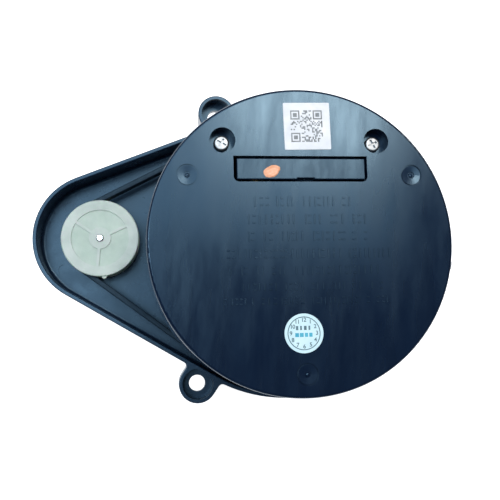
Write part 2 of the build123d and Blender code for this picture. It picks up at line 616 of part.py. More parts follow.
# ================= turret base: belt groove, plate and hub =================
POST_R = 3.0
BOARD_SEATS = ((-24.0, -18.0), (24.0, -18.0), (9.0, -31.0))
TURRET_BOARD_Z = 8.4
TURRET_BOARD_T = 1.6
RAIL_X, RAIL_Y = 12.0, 22.0
SENSOR_LEAD_Y0, SENSOR_LEAD_Y1 = 28.2, 32.8
with BuildPart() as turret_base:
    with BuildSketch(turret(PLATE_BOTTOM)):
        Circle(BIG_FLANGE_R)
        Circle(CORE_BORE_R, mode=Mode.SUBTRACT)
    extrude(amount=PLATE_TOP - PLATE_BOTTOM)
    with BuildSketch(turret(FLANGE_LOW)):
        Circle(BIG_GROOVE_R)
        Circle(BIG_GROOVE_R - 1.8, mode=Mode.SUBTRACT)
    extrude(amount=PLATE_BOTTOM - FLANGE_LOW)
    with BuildSketch(turret(FLANGE_LOW)):
        Circle(BIG_FLANGE_R)
        Circle(BIG_GROOVE_R - 1.8, mode=Mode.SUBTRACT)
    extrude(amount=GROOVE_LOW - FLANGE_LOW)
    # hollow hub that turns in the bearing, with a shoulder above it and a groove below
    with BuildSketch(turret(BEARING_Z0 - 2.2)):
        Circle(HUB_R)
        Circle(HUB_BORE, mode=Mode.SUBTRACT)
    extrude(amount=PLATE_BOTTOM - BEARING_Z0 + 2.2)
    with BuildSketch(turret(BEARING_Z1)):
        Circle(INNER_RACE_R)
        Circle(HUB_R, mode=Mode.SUBTRACT)
    extrude(amount=PLATE_BOTTOM - BEARING_Z1)
    with BuildSketch(turret(BEARING_Z0 - 1.2)):
        Circle(HUB_R + 1)
        Circle(HUB_R - 0.6, mode=Mode.SUBTRACT)
    extrude(amount=1.0, mode=Mode.SUBTRACT)
    # stiffening ribs under the plate
    for angle in range(0, 360, 45):
        with BuildSketch(turret(3.4)):
            with Locations(Location((0, 0, 0), (0, 0, angle + 22.5))):
                with Locations((21.0, 0)):
                    Rectangle(14.0, 1.0)
        extrude(amount=PLATE_BOTTOM - 3.4)
    # posts for the cap screws, seats for the board and two rails under the optics
    with BuildSketch(turret(PLATE_TOP)):
        with Locations((CAP_SCREW_X, CAP_SCREW_Y), (-CAP_SCREW_X, CAP_SCREW_Y)):
            Circle(POST_R)
    extrude(amount=BOSS_FOOT - PLATE_TOP)
    with BuildSketch(turret(BOSS_FOOT)):
        with Locations((CAP_SCREW_X, CAP_SCREW_Y), (-CAP_SCREW_X, CAP_SCREW_Y)):
            Circle(0.95)
    extrude(amount=-9.0, mode=Mode.SUBTRACT)
    with BuildSketch(turret(PLATE_TOP)):
        with Locations(*BOARD_SEATS):
            Circle(2.4)
        with Locations((RAIL_X, RAIL_Y), (-RAIL_X, RAIL_Y)):
            Rectangle(4.0, 10.0)
    extrude(amount=TURRET_BOARD_Z - PLATE_TOP)
    with BuildSketch(turret(TURRET_BOARD_Z)):
        with Locations((RAIL_X, RAIL_Y), (-RAIL_X, RAIL_Y)):
            Rectangle(4.0, 10.0)
    extrude(amount=HOLDER_Z0 - TURRET_BOARD_Z)
    with BuildSketch(turret(TURRET_BOARD_Z)):
        with Locations(*BOARD_SEATS):
            Circle(0.8)
    extrude(amount=-2.6, mode=Mode.SUBTRACT)
    # slots through which the encoder sensor's leads rise to the board
    with BuildSketch(turret(PLATE_BOTTOM)):
        with Locations((0, -SENSOR_LEAD_Y0), (0, -SENSOR_LEAD_Y1)):
            Rectangle(4.0, 1.0)
        with Locations((RAIL_X, RAIL_Y), (-RAIL_X, RAIL_Y)):
            Circle(1.1)
    extrude(amount=PLATE_TOP - PLATE_BOTTOM, mode=Mode.SUBTRACT)
    with BuildSketch(turret(PLATE_TOP)):
        with Locations((RAIL_X, RAIL_Y), (-RAIL_X, RAIL_Y)):
            Circle(1.1)
    extrude(amount=HOLDER_Z0 - PLATE_TOP, mode=Mode.SUBTRACT)
turret_base.part.label = "turret_base"
export_step(turret_base.part, "parts/turret_base.step")

with BuildPart() as hub_retaining_ring:
    with BuildSketch(turret(BEARING_Z0 - 1.2)):
        Circle(INNER_RACE_R)
        Circle(HUB_R - 0.6, mode=Mode.SUBTRACT)
        with Locations((HUB_R + 0.5, 0)):
            Rectangle(6.0, 3.0, mode=Mode.SUBTRACT)
    extrude(amount=1.0)
hub_retaining_ring.part.label = "hub_retaining_ring"
export_step(hub_retaining_ring.part, "parts/hub_retaining_ring.step")

with BuildPart() as rotor_ferrite:
    add(pot_core(PLATE_BOTTOM, PLATE_BOTTOM - CORE_H))
rotor_ferrite.part.label = "rotor_ferrite"
export_step(rotor_ferrite.part, "parts/rotor_ferrite.step")

with BuildPart() as rotor_coil:
    add(ring(CORE_R - CORE_WALL - 0.3, CORE_POST_R + 0.3, PLATE_BOTTOM - CORE_H + 0.2, PLATE_BOTTOM - CORE_WALL))
rotor_coil.part.label = "rotor_coil"
export_step(rotor_coil.part, "parts/rotor_coil.step")

with BuildPart() as link_led:
    with Locations((0, 0, 1.0)):
        Cylinder(1.5, TURRET_BOARD_Z - 1.0, align=(Align.CENTER, Align.CENTER, Align.MIN))
    fillet(link_led.edges().group_by(Axis.Z)[0], 1.2)
link_led.part.label = "link_led"
export_step(link_led.part, "parts/link_led.step")

# ================= turret cover: top disc, wall and front opening =================
OPENING_X, OPENING_Z0, OPENING_Z1 = 16.4, 10.0, 29.6
HOOD_WALL = 1.4
HOOD_Y0 = 29.6
GATES = [(GATE_RING_R * cos(radians(a)), GATE_RING_R * sin(radians(a))) for a in (30, 150, 270)]
GATE_R = 2.6
GATE_DEPTH = 0.12
GATE_BALL_R = (GATE_R**2 + GATE_DEPTH**2) / (2 * GATE_DEPTH)
GATE_BALL_Z = CAP_TOP - GATE_DEPTH + GATE_BALL_R
GATE_BALLS = [turret(GATE_BALL_Z).location * Location((x, y, 0)) for x, y in GATES]
NUB_R = 0.75
NUBS = [turret(CAP_TOP - NUB_R).location * Location((x, y, 0)) for x, y in GATES]
with BuildPart() as turret_cover:
    with BuildSketch(turret(PLATE_TOP)):
        Circle(CAP_R)
    extrude(amount=CAP_TOP - PLATE_TOP)
    fillet(turret_cover.edges().group_by(Axis.Z)[-1], CAP_EDGE)
    with BuildSketch(turret(PLATE_TOP)):
        Circle(CAP_R - CAP_WALL)
    extrude(amount=CAP_TOP - CAP_T - PLATE_TOP, mode=Mode.SUBTRACT)
    # bosses over the two posts
    with BuildSketch(turret(BOSS_FOOT)):
        with Locations((CAP_SCREW_X, CAP_SCREW_Y), (-CAP_SCREW_X, CAP_SCREW_Y)):
            Circle(SEAT_R + 1.2)
    extrude(amount=CAP_TOP - CAP_T - BOSS_FOOT)
    # the hood: a short square tunnel from the wall back to the optics
    with BuildSketch(turret(OPENING_Z0 - HOOD_WALL)):
        Circle(CAP_R - 0.4)
        with Locations((0, HOOD_Y0 - 50)):
            Rectangle(100, 100, mode=Mode.SUBTRACT)
        with Locations((OPENING_X + HOOD_WALL + 20, 40), (-OPENING_X - HOOD_WALL - 20, 40)):
            Rectangle(40, 60, mode=Mode.SUBTRACT)
    extrude(amount=OPENING_Z1 - OPENING_Z0 + 2 * HOOD_WALL)
    with BuildSketch(turret_front(HOOD_Y0)):
        with Locations((0, (OPENING_Z0 + OPENING_Z1) / 2)):
            RectangleRounded(2 * OPENING_X, OPENING_Z1 - OPENING_Z0, 1.2)
    extrude(amount=20.0, mode=Mode.SUBTRACT)
    # screw seats
    with BuildSketch(turret(CAP_TOP)):
        with Locations((CAP_SCREW_X, CAP_SCREW_Y), (-CAP_SCREW_X, CAP_SCREW_Y)):
            Circle(SEAT_R)
    extrude(amount=-SEAT_DEPTH, mode=Mode.SUBTRACT)
    with BuildSketch(turret(BOSS_FOOT)):
        with Locations((CAP_SCREW_X, CAP_SCREW_Y), (-CAP_SCREW_X, CAP_SCREW_Y)):
            Circle(1.15)
    extrude(amount=CAP_TOP - BOSS_FOOT, mode=Mode.SUBTRACT)
    # slot over the optics holder: two square corners in front, two round ones behind
    with BuildSketch(turret(CAP_TOP - CAP_T)) as slot:
        with Locations((0, (SLOT_Y0 + SLOT_Y1) / 2)):
            Rectangle(2 * SLOT_X, SLOT_Y1 - SLOT_Y0)
        fillet(slot.vertices().group_by(Axis.Y)[0], 1.4)
    extrude(amount=CAP_T, mode=Mode.SUBTRACT)
    # three moulding gates: a shallow dish in a ring groove, and a rounded nub in a smaller one
    with Locations(*GATE_BALLS):
        Sphere(GATE_BALL_R, mode=Mode.SUBTRACT)
    with BuildSketch(turret(CAP_TOP)):
        with Locations(*GATES):
            Circle(GATE_R + 0.25)
            Circle(GATE_R - 0.1, mode=Mode.SUBTRACT)
            Circle(0.95)
            Circle(0.5, mode=Mode.SUBTRACT)
    extrude(amount=-0.35, mode=Mode.SUBTRACT)
    with Locations(*NUBS):
        Sphere(NUB_R)
turret_cover.part.label = "turret_cover"
export_step(turret_cover.part, "parts/turret_cover.step")

CAP_SCREW = pan_screw(2.05, 1.3, 0.95, 7.0)
with BuildPart() as cap_screws:
    for side in (1, -1):
        place = turret(CAP_TOP - SEAT_DEPTH).location * Location((side * CAP_SCREW_X, CAP_SCREW_Y, 0), (0, 0, 28 * side))
        add(CAP_SCREW.moved(place))
cap_screws.part.label = "cap_screws"
export_step(cap_screws.part, "parts/cap_screws.step")

# ================= optics =================
TUBE_X0, TUBE_X1 = -1.2, 14.4
TUBE_Y0 = 5.8
TUBE_Z0, TUBE_Z1 = 11.8, 27.4
TUBE_WALL = 1.2
with BuildPart() as optics_holder:
    with BuildSketch(turret(HOLDER_Z0)):
        with Locations((0, (HOLDER_Y0 + HOLDER_Y1) / 2)):
            Rectangle(31.0, HOLDER_Y1 - HOLDER_Y0)
    extrude(amount=HOLDER_Z1 - HOLDER_Z0)
    # dark tunnel from the receiving lens back to the image sensor
    with BuildSketch(turret(TUBE_Z0)):
        with Locations(((TUBE_X0 + TUBE_X1) / 2, (TUBE_Y0 + HOLDER_Y0) / 2)):
            Rectangle(TUBE_X1 - TUBE_X0, HOLDER_Y0 - TUBE_Y0)
    extrude(amount=TUBE_Z1 - TUBE_Z0)
    with BuildSketch(turret(TUBE_Z0 + TUBE_WALL)):
        with Locations(((TUBE_X0 + TUBE_X1) / 2, (TUBE_Y0 + HOLDER_Y0 + 2) / 2)):
            Rectangle(TUBE_X1 - TUBE_X0 - 2 * TUBE_WALL, HOLDER_Y0 + 2 - TUBE_Y0)
    extrude(amount=TUBE_Z1 - TUBE_Z0 - 2 * TUBE_WALL, mode=Mode.SUBTRACT)
    # bores for the two barrels
    with BuildSketch(turret_front(HOLDER_Y1)):
        with Locations((-EMITTER_X, LENS_Z)):
            Circle(EMITTER_R)
        with Locations((-RECEIVER_X, LENS_Z)):
            Circle(RECEIVER_R)
    extrude(amount=HOLDER_Y0 - HOLDER_Y1, mode=Mode.SUBTRACT)
    # tongue that fills the slot in the cover
    with BuildSketch(turret(HOLDER_Z1)):
        with Locations(((TONGUE_X0 + TONGUE_X1) / 2, (TONGUE_Y0 + TONGUE_Y1) / 2)):
            Rectangle(TONGUE_X1 - TONGUE_X0, TONGUE_Y1 - TONGUE_Y0)
    extrude(amount=TONGUE_TOP - HOLDER_Z1)
    with BuildSketch(turret(TONGUE_TOP)):
        with Locations((1.25, TONGUE_Y0)):
            Rectangle(4.5, 0.6)
    extrude(amount=-2.4, mode=Mode.SUBTRACT)
    chamfer(optics_holder.edges().group_by(Axis.Z)[-1], 0.2)
    with BuildSketch(turret(HOLDER_Z0)):
        with Locations((RAIL_X, RAIL_Y), (-RAIL_X, RAIL_Y)):
            Circle(0.95)
    extrude(amount=2.0, mode=Mode.SUBTRACT)
optics_holder.part.label = "optics_holder"
export_step(optics_holder.part, "parts/optics_holder.step")

OPTICS_SCREW = pan_screw(1.8, 0.9, 0.95, 5.6)
with BuildPart() as optics_screws:
    for side in (1, -1):
        place = turret(PLATE_BOTTOM).location * Location((side * RAIL_X, RAIL_Y, 0), (180, 0, 0))
        add(OPTICS_SCREW.moved(place))
optics_screws.part.label = "optics_screws"
export_step(optics_screws.part, "parts/optics_screws.step")

LASER_BACK = 10.0
EMITTER_BORE = 3.6
with BuildPart() as laser_barrel:
    with BuildSketch(turret_front(HOLDER_Y1 + 0.6)):
        with Locations((-EMITTER_X, LENS_Z)):
            Circle(EMITTER_R)
    extrude(amount=LASER_BACK - HOLDER_Y1 - 0.6)
    with BuildSketch(turret_front(HOLDER_Y1 + 0.6)):
        with Locations((-EMITTER_X, LENS_Z)):
            Circle(EMITTER_BORE)
    extrude(amount=-8.0, mode=Mode.SUBTRACT)
    with BuildSketch(turret_front(LASER_BACK)):
        with Locations((-EMITTER_X, LENS_Z)):
            Circle(2.8)
    extrude(amount=14.0, mode=Mode.SUBTRACT)
laser_barrel.part.label = "laser_barrel"
export_step(laser_barrel.part, "parts/laser_barrel.step")

with BuildPart() as laser_diode:
    with BuildSketch(turret_front(LASER_BACK)):
        with Locations((-EMITTER_X, LENS_Z)):
            Circle(2.8)
    extrude(amount=1.2)
    with BuildSketch(turret_front(LASER_BACK + 1.2)):
        with Locations((-EMITTER_X, LENS_Z)):
            Circle(1.7)
    extrude(amount=2.4)
laser_diode.part.label = "laser_diode"
export_step(laser_diode.part, "parts/laser_diode.step")

with BuildPart() as laser_board:
    with BuildSketch(turret_front(LASER_BACK)):
        with Locations((-EMITTER_X, LENS_Z)):
            Circle(5.4)
    extrude(amount=-1.2)
laser_board.part.label = "laser_board"
export_step(laser_board.part, "parts/laser_board.step")


def lens(x, radius, back, edge, bulge):
    """A round lens on the optical axis at x: a flat disc with a domed front."""
    sphere_r = (radius**2 + bulge**2) / (2 * bulge)
    with BuildPart() as glass:
        with BuildSketch(turret_front(back)):
            with Locations((-x, LENS_Z)):
                Circle(radius)
        extrude(amount=edge + bulge)
        centre = turret_front(back + edge + bulge - sphere_r).location * Location((-x, LENS_Z, 0))
        with Locations(centre):
            Sphere(sphere_r, mode=Mode.INTERSECT)
    return glass.part


def lens_ring(x, outer, inner, back, thick):
    """The threaded ring that keeps a lens in its barrel."""
    with BuildPart() as band:
        with BuildSketch(turret_front(back)):
            with Locations((-x, LENS_Z)):
                Circle(outer)
                Circle(inner, mode=Mode.SUBTRACT)
        extrude(amount=thick)
    return band.part


LENS_SEAT = HOLDER_Y1 + 0.6 - 8.0
with BuildPart() as emitter_lens:
    add(lens(EMITTER_X, EMITTER_BORE, LENS_SEAT, 1.6, 1.1))
emitter_lens.part.label = "emitter_lens"
export_step(emitter_lens.part, "parts/emitter_lens.step")

RECEIVER_BORE = 6.2
with BuildPart() as receiver_barrel:
    add(lens_ring(RECEIVER_X, RECEIVER_R, RECEIVER_BORE, HOLDER_Y0 + 2.2, HOLDER_Y1 + 0.6 - HOLDER_Y0 - 2.2))
    with BuildSketch(turret_front(HOLDER_Y0 + 2.2)):
        with Locations((-RECEIVER_X, LENS_Z)):
            Circle(RECEIVER_BORE)
            Circle(RECEIVER_BORE - 1.0, mode=Mode.SUBTRACT)
    extrude(amount=1.0)
receiver_barrel.part.label = "receiver_barrel"
export_step(receiver_barrel.part, "parts/receiver_barrel.step")

RECEIVER_LENS_BACK = HOLDER_Y1 - 5.2
with BuildPart() as receiver_lens:
    add(lens(RECEIVER_X, RECEIVER_BORE, RECEIVER_LENS_BACK, 1.8, 2.0))
receiver_lens.part.label = "receiver_lens"
export_step(receiver_lens.part, "parts/receiver_lens.step")

with BuildPart() as lens_rings:
    add(lens_ring(EMITTER_X, EMITTER_BORE, EMITTER_BORE - 0.8, LENS_SEAT + 3.0, 1.2))
    add(lens_ring(RECEIVER_X, RECEIVER_BORE, RECEIVER_BORE - 0.9, RECEIVER_LENS_BACK + 4.0, 1.2))
lens_rings.part.label = "lens_rings"
export_step(lens_rings.part, "parts/lens_rings.step")

SENSOR_BOARD_T = 1.4
with BuildPart() as sensor_board:
    with BuildSketch(turret_front(TUBE_Y0)):
        with Locations((-(TUBE_X0 + TUBE_X1) / 2, (TUBE_Z0 + TUBE_Z1) / 2)):
            Rectangle(TUBE_X1 - TUBE_X0, TUBE_Z1 - TUBE_Z0)
    extrude(amount=-SENSOR_BOARD_T)
sensor_board.part.label = "sensor_board"
export_step(sensor_board.part, "parts/sensor_board.step")

with BuildPart() as image_sensor:
    with BuildSketch(turret_front(TUBE_Y0)):
        with Locations((-RECEIVER_X, LENS_Z)):
            Rectangle(8.0, 6.0)
    extrude(amount=1.1)
image_sensor.part.label = "image_sensor"
export_step(image_sensor.part, "parts/image_sensor.step")

# ================= turret board and encoder sensor =================
TURRET_BOARD_TOP = TURRET_BOARD_Z + TURRET_BOARD_T
with BuildPart() as turret_board:
    with BuildSketch(turret(TURRET_BOARD_Z)):
        Circle(36.0)
        with Locations((0, 28.0)):
            Rectangle(80, 44.0, mode=Mode.SUBTRACT)
        with Locations(*BOARD_SEATS):
            Circle(1.05, mode=Mode.SUBTRACT)
        with Locations((0, -SENSOR_LEAD_Y0), (0, -SENSOR_LEAD_Y1)):
            with GridLocations(2.0, 1, 2, 1):
                Rectangle(0.5, 0.5, mode=Mode.SUBTRACT)
    extrude(amount=TURRET_BOARD_T)
turret_board.part.label = "turret_board"
export_step(turret_board.part, "parts/turret_board.step")

TURRET_BOARD_SCREW = pan_screw(1.8, 0.9, 0.8, 4.0)
with BuildPart() as turret_board_screws:
    for x, y in BOARD_SEATS:
        add(TURRET_BOARD_SCREW.moved(turret(TURRET_BOARD_TOP).location * Location((x, y, 0))))
turret_board_screws.part.label = "turret_board_screws"
export_step(turret_board_screws.part, "parts/turret_board_screws.step")

with BuildPart() as turret_chips:
    with BuildSketch(turret(TURRET_BOARD_TOP)):
        with Locations((-9.0, -14.0)):
            Rectangle(10.0, 10.0)
    extrude(amount=1.4)
    with BuildSketch(turret(TURRET_BOARD_TOP)):
        with Locations((9.0, -10.0), (12.0, -22.0)):
            Rectangle(5.0, 6.0)
    extrude(amount=1.3)
    with BuildSketch(turret(TURRET_BOARD_TOP)):
        with Locations((-20.0, -6.0), (20.5, -6.0)):
            Circle(2.6)
    extrude(amount=5.4)
turret_chips.part.label = "turret_chips"
export_step(turret_chips.part, "parts/turret_chips.step")

SENSOR_LOW = -0.2
with BuildPart() as encoder_sensor:
    with BuildSketch(turret(SENSOR_LOW)):
        with Locations((0, -(SENSOR_LEAD_Y0 + SENSOR_LEAD_Y1) / 2)):
            Rectangle(7.0, 7.0)
    extrude(amount=PLATE_BOTTOM - SENSOR_LOW)
    with BuildSketch(turret(SENSOR_LOW)):
        with Locations((0, -(SENSOR_LEAD_Y0 + SENSOR_LEAD_Y1) / 2)):
            Rectangle(7.0, 2.4)
    extrude(amount=3.5, mode=Mode.SUBTRACT)
encoder_sensor.part.label = "encoder_sensor"
export_step(encoder_sensor.part, "parts/encoder_sensor.step")

with BuildPart() as encoder_sensor_leads:
    with BuildSketch(turret(PLATE_BOTTOM)):
        with Locations((0, -SENSOR_LEAD_Y0), (0, -SENSOR_LEAD_Y1)):
            with GridLocations(2.0, 1, 2, 1):
                Rectangle(0.5, 0.5)
    extrude(amount=TURRET_BOARD_TOP + 0.8 - PLATE_BOTTOM)
encoder_sensor_leads.part.label = "encoder_sensor_leads"
export_step(encoder_sensor_leads.part, "parts/encoder_sensor_leads.step")

# ================= what is stuck on the cover =================
LABEL_T = 0.12
with BuildPart() as square_label:
    with BuildSketch(turret(CAP_TOP)):
        with Locations((1.9, 30.0)):
            RectangleRounded(12.3, 12.5, 0.35, rotation=1.0)
    extrude(amount=LABEL_T)
square_label.part.label = "square_label"
export_step(square_label.part, "parts/square_label.step")

with BuildPart() as round_label:
    with BuildSketch(turret(CAP_TOP)):
        with Locations((-0.64, -23.67)):
            Circle(5.0)
    extrude(amount=LABEL_T)
round_label.part.label = "round_label"
export_step(round_label.part, "parts/round_label.step")

with BuildPart() as paint_dab:
    with BuildSketch(turret(TONGUE_TOP)):
        with Locations((-7.66, 18.07)):
            Ellipse(2.25, 1.5, rotation=25)
    extrude(amount=0.25)
    fillet(paint_dab.edges().group_by(Axis.Z)[-1], 0.15)
paint_dab.part.label = "paint_dab"
export_step(paint_dab.part, "parts/paint_dab.step")
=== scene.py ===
import math

import bpy
import numpy as np
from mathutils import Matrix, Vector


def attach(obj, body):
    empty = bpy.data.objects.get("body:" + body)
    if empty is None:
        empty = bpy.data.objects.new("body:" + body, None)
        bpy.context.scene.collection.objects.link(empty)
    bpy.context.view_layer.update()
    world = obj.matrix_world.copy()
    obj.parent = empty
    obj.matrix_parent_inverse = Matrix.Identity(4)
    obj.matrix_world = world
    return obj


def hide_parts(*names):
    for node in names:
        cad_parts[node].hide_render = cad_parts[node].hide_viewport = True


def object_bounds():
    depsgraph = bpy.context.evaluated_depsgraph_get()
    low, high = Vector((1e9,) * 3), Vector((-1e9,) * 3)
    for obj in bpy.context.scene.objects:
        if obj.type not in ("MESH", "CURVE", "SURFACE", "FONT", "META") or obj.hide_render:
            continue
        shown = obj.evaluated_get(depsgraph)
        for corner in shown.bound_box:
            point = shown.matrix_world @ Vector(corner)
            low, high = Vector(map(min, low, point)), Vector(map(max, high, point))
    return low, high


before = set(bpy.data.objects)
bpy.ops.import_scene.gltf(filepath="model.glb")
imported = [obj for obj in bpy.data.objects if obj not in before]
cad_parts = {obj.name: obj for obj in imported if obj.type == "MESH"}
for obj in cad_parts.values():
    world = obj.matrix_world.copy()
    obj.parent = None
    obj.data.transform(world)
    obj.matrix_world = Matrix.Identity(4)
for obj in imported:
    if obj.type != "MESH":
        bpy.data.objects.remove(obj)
cad_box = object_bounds()

# ---------------------------------------------------------------- base pan
# The base is one black ABS moulding: a teardrop pan with a raised rim, three cupped lugs and an
# electronics tub below. The mould was polished, so the skin is glossy, with faint flow clouds in
# the floor where the melt met and a fine orange peel everywhere.


def surface(name, dark, light, rough, patch, grain, depth, stretch=(1, 1, 1), ripple=0.0):
    """A finish whose colour drifts between two tones and whose gloss drifts between two
    roughnesses, both by noise of one patch size, over a fine grain that stands proud by depth.
    Ripple adds a broad waviness of six patches. Sizes are in metres."""
    finish = bpy.data.materials.new(name)
    finish.use_nodes = True
    nodes, links = finish.node_tree.nodes, finish.node_tree.links
    shader = nodes["Principled BSDF"]
    where = nodes.new("ShaderNodeTexCoord")
    spread = nodes.new("ShaderNodeMapping")
    spread.inputs["Scale"].default_value = stretch
    links.new(where.outputs["Object"], spread.inputs["Vector"])

    def noise(size, detail, roughness):
        node = nodes.new("ShaderNodeTexNoise")
        node.inputs["Scale"].default_value = 1.0 / size
        node.inputs["Detail"].default_value = detail
        node.inputs["Roughness"].default_value = roughness
        links.new(spread.outputs["Vector"], node.inputs["Vector"])
        return node

    clouds = noise(patch, 4.0, 0.6)
    ramp = nodes.new("ShaderNodeValToRGB")
    ramp.color_ramp.elements[0].position = 0.3
    ramp.color_ramp.elements[0].color = (*dark, 1)
    ramp.color_ramp.elements[1].position = 0.72
    ramp.color_ramp.elements[1].color = (*light, 1)
    links.new(clouds.outputs["Fac"], ramp.inputs["Fac"])
    links.new(ramp.outputs["Color"], shader.inputs["Base Color"])
    smears = noise(patch * 0.6, 5.0, 0.65)
    gloss = nodes.new("ShaderNodeMapRange")
    gloss.inputs["From Min"].default_value = 0.3
    gloss.inputs["From Max"].default_value = 0.7
    gloss.inputs["To Min"].default_value = rough[0]
    gloss.inputs["To Max"].default_value = rough[1]
    links.new(smears.outputs["Fac"], gloss.inputs["Value"])
    links.new(gloss.outputs["Result"], shader.inputs["Roughness"])
    peel = noise(grain, 3.0, 0.55)
    bump = nodes.new("ShaderNodeBump")
    bump.inputs["Distance"].default_value = depth
    bump.inputs["Strength"].default_value = 1.0
    links.new(peel.outputs["Fac"], bump.inputs["Height"])
    if ripple:
        swell = noise(patch * 6, 1.0, 0.4)
        broad = nodes.new("ShaderNodeBump")
        broad.inputs["Distance"].default_value = ripple
        links.new(swell.outputs["Fac"], broad.inputs["Height"])
        links.new(broad.outputs["Normal"], bump.inputs["Normal"])
    links.new(bump.outputs["Normal"], shader.inputs["Normal"])
    return finish


def tune(finish, **sockets):
    """Sets sockets of the finish's own shader, named with underscores for spaces."""
    shader = finish.node_tree.nodes["Principled BSDF"]
    for socket, value in sockets.items():
        shader.inputs[socket.replace("_", " ")].default_value = value
    return finish


def give(finish, *names):
    """Puts one finish on every slot of the named CAD pieces."""
    for name in names:
        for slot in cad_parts[name].material_slots:
            slot.material = finish


COOL_SHEEN = (0.42, 0.74, 1.0, 1)
base_black = tune(
    surface("base_black", (0.006, 0.015, 0.034), (0.012, 0.026, 0.052), (0.22, 0.36),
            0.011, 0.0009, 0.000005, ripple=0.00012),
    IOR=1.5, Specular_Tint=COOL_SHEEN)
give(base_black, "base_frame")

# ---------------------------------------------------------------- bottom cover
# A flat black disc closes the tub, held by four small zinc plated screws in sunk holes. It is the
# face the scanner stands on, so its gloss is rubbed duller than the pan's.
cover_black = tune(
    surface("cover_black", (0.014, 0.016, 0.02), (0.03, 0.032, 0.036), (0.42, 0.62),
            0.006, 0.0006, 0.00001),
    IOR=1.5)
give(cover_black, "bottom_cover")

bright_zinc = tune(
    surface("bright_zinc", (0.2, 0.23, 0.25), (0.36, 0.4, 0.42), (0.36, 0.5),
            0.0012, 0.0003, 0.000006),
    Metallic=1.0)
give(bright_zinc, "bottom_cover_screws", "cap_screws", "motor_screws", "optics_screws",
     "interface_board_screws", "turret_board_screws")

# ---------------------------------------------------------------- interface board
# A round glass-epoxy board under the bearing: green solder mask over copper, black epoxy chips,
# and an off-white nylon wire header with five tinned pins that faces out through the tub's wall.
board_green = tune(
    surface("board_green", (0.006, 0.07, 0.03), (0.015, 0.14, 0.06), (0.24, 0.36),
            0.002, 0.0005, 0.000008),
    Coat_Weight=0.4, Coat_Roughness=0.15)
give(board_green, "interface_board", "turret_board", "sensor_board", "laser_board")

chip_black = surface("chip_black", (0.012, 0.012, 0.013), (0.026, 0.026, 0.028), (0.5, 0.68),
                     0.0008, 0.00012, 0.000006)
give(chip_black, "interface_chips", "turret_chips", "image_sensor", "encoder_sensor")

header_cream = tune(
    surface("header_cream", (0.62, 0.58, 0.47), (0.76, 0.72, 0.6), (0.38, 0.5),
            0.003, 0.0003, 0.000005),
    Subsurface_Weight=0.15, Subsurface_Scale=0.0006)
give(header_cream, "wire_header")

tin = tune(
    surface("tin", (0.55, 0.54, 0.5), (0.78, 0.77, 0.73), (0.22, 0.36), 0.0009, 0.0002, 0.000004),
    Metallic=1.0)
give(tin, "header_pins", "motor_terminals", "encoder_sensor_leads")

# ---------------------------------------------------------------- contactless link
# Power crosses to the turret between two ferrite pot cores with a wound coil in each, and data
# crosses up their bore as light, from a clear-cased diode to a clear-cased receiver.
ferrite_grey = surface("ferrite_grey", (0.045, 0.045, 0.05), (0.085, 0.085, 0.09), (0.5, 0.7),
                       0.0014, 0.0002, 0.000012)
give(ferrite_grey, "fixed_ferrite", "rotor_ferrite", "motor_magnets")

inner_black = surface("inner_black", (0.01, 0.01, 0.011), (0.022, 0.022, 0.024), (0.55, 0.72),
                      0.004, 0.0004, 0.00001)
give(inner_black, "coil_pedestal", "encoder_ring", "motor_end_cap")

# each coil is wound of fine enamelled wire, so its grain runs round as close level rings
winding = tune(
    surface("winding", (0.3, 0.1, 0.03), (0.62, 0.26, 0.1), (0.24, 0.36), 0.0016, 0.00035,
            0.00005, stretch=(0.05, 0.05, 1)),
    Metallic=0.85)
give(winding, "fixed_coil", "rotor_coil", "motor_commutator")

clear_case = tune(
    surface("clear_case", (0.85, 0.87, 0.88), (0.95, 0.96, 0.97), (0.05, 0.14), 0.002, 0.0006,
            0.000003),
    Transmission_Weight=0.9, IOR=1.54)
give(clear_case, "link_led", "link_photodiode")

# ---------------------------------------------------------------- ball bearing
# One wide thin bearing carries the turret: two ground steel races, polished balls and a moulded
# nylon cage, kept on the hub by an open spring ring.
ground_steel = tune(
    surface("ground_steel", (0.46, 0.47, 0.49), (0.66, 0.67, 0.69), (0.12, 0.24), 0.004, 0.0003,
            0.000003, stretch=(0.2, 0.2, 3)),
    Metallic=1.0)
give(ground_steel, "bearing_outer_race", "bearing_inner_race", "bearing_balls")

cage_nylon = surface("cage_nylon", (0.42, 0.33, 0.2), (0.58, 0.48, 0.32), (0.4, 0.55), 0.003,
                     0.0004, 0.000006)
give(cage_nylon, "bearing_cage")

spring_steel = tune(
    surface("spring_steel", (0.2, 0.2, 0.21), (0.34, 0.34, 0.35), (0.28, 0.42), 0.002, 0.0003,
            0.000005),
    Metallic=1.0)
give(spring_steel, "hub_retaining_ring", "laser_diode")

# ---------------------------------------------------------------- drive motor
# A small brushed direct current motor hangs under the pan. Its can is drawn from nickel plated
# sheet, so the wall shows faint upright draw lines, and its open end is shut by a black cap.
drawn_can = tune(
    surface("drawn_can", (0.34, 0.34, 0.34), (0.6, 0.6, 0.59), (0.2, 0.34), 0.0012, 0.00025,
            0.000006, stretch=(1, 1, 0.06)),
    Metallic=1.0)
give(drawn_can, "motor_can")

stacked_iron = tune(
    surface("stacked_iron", (0.12, 0.115, 0.11), (0.24, 0.235, 0.23), (0.4, 0.6), 0.0015, 0.0004,
            0.00003, stretch=(0.05, 0.05, 1)),
    Metallic=0.9)
give(stacked_iron, "motor_rotor_core")

oiled_bronze = tune(
    surface("oiled_bronze", (0.26, 0.15, 0.06), (0.48, 0.31, 0.14), (0.3, 0.48), 0.0008, 0.00015,
            0.000012),
    Metallic=1.0)
give(oiled_bronze, "motor_bush")

pressed_carbon = surface("pressed_carbon", (0.014, 0.014, 0.015), (0.05, 0.05, 0.052), (0.45, 0.7),
                         0.0006, 0.0001, 0.00001)
give(pressed_carbon, "motor_brushes")

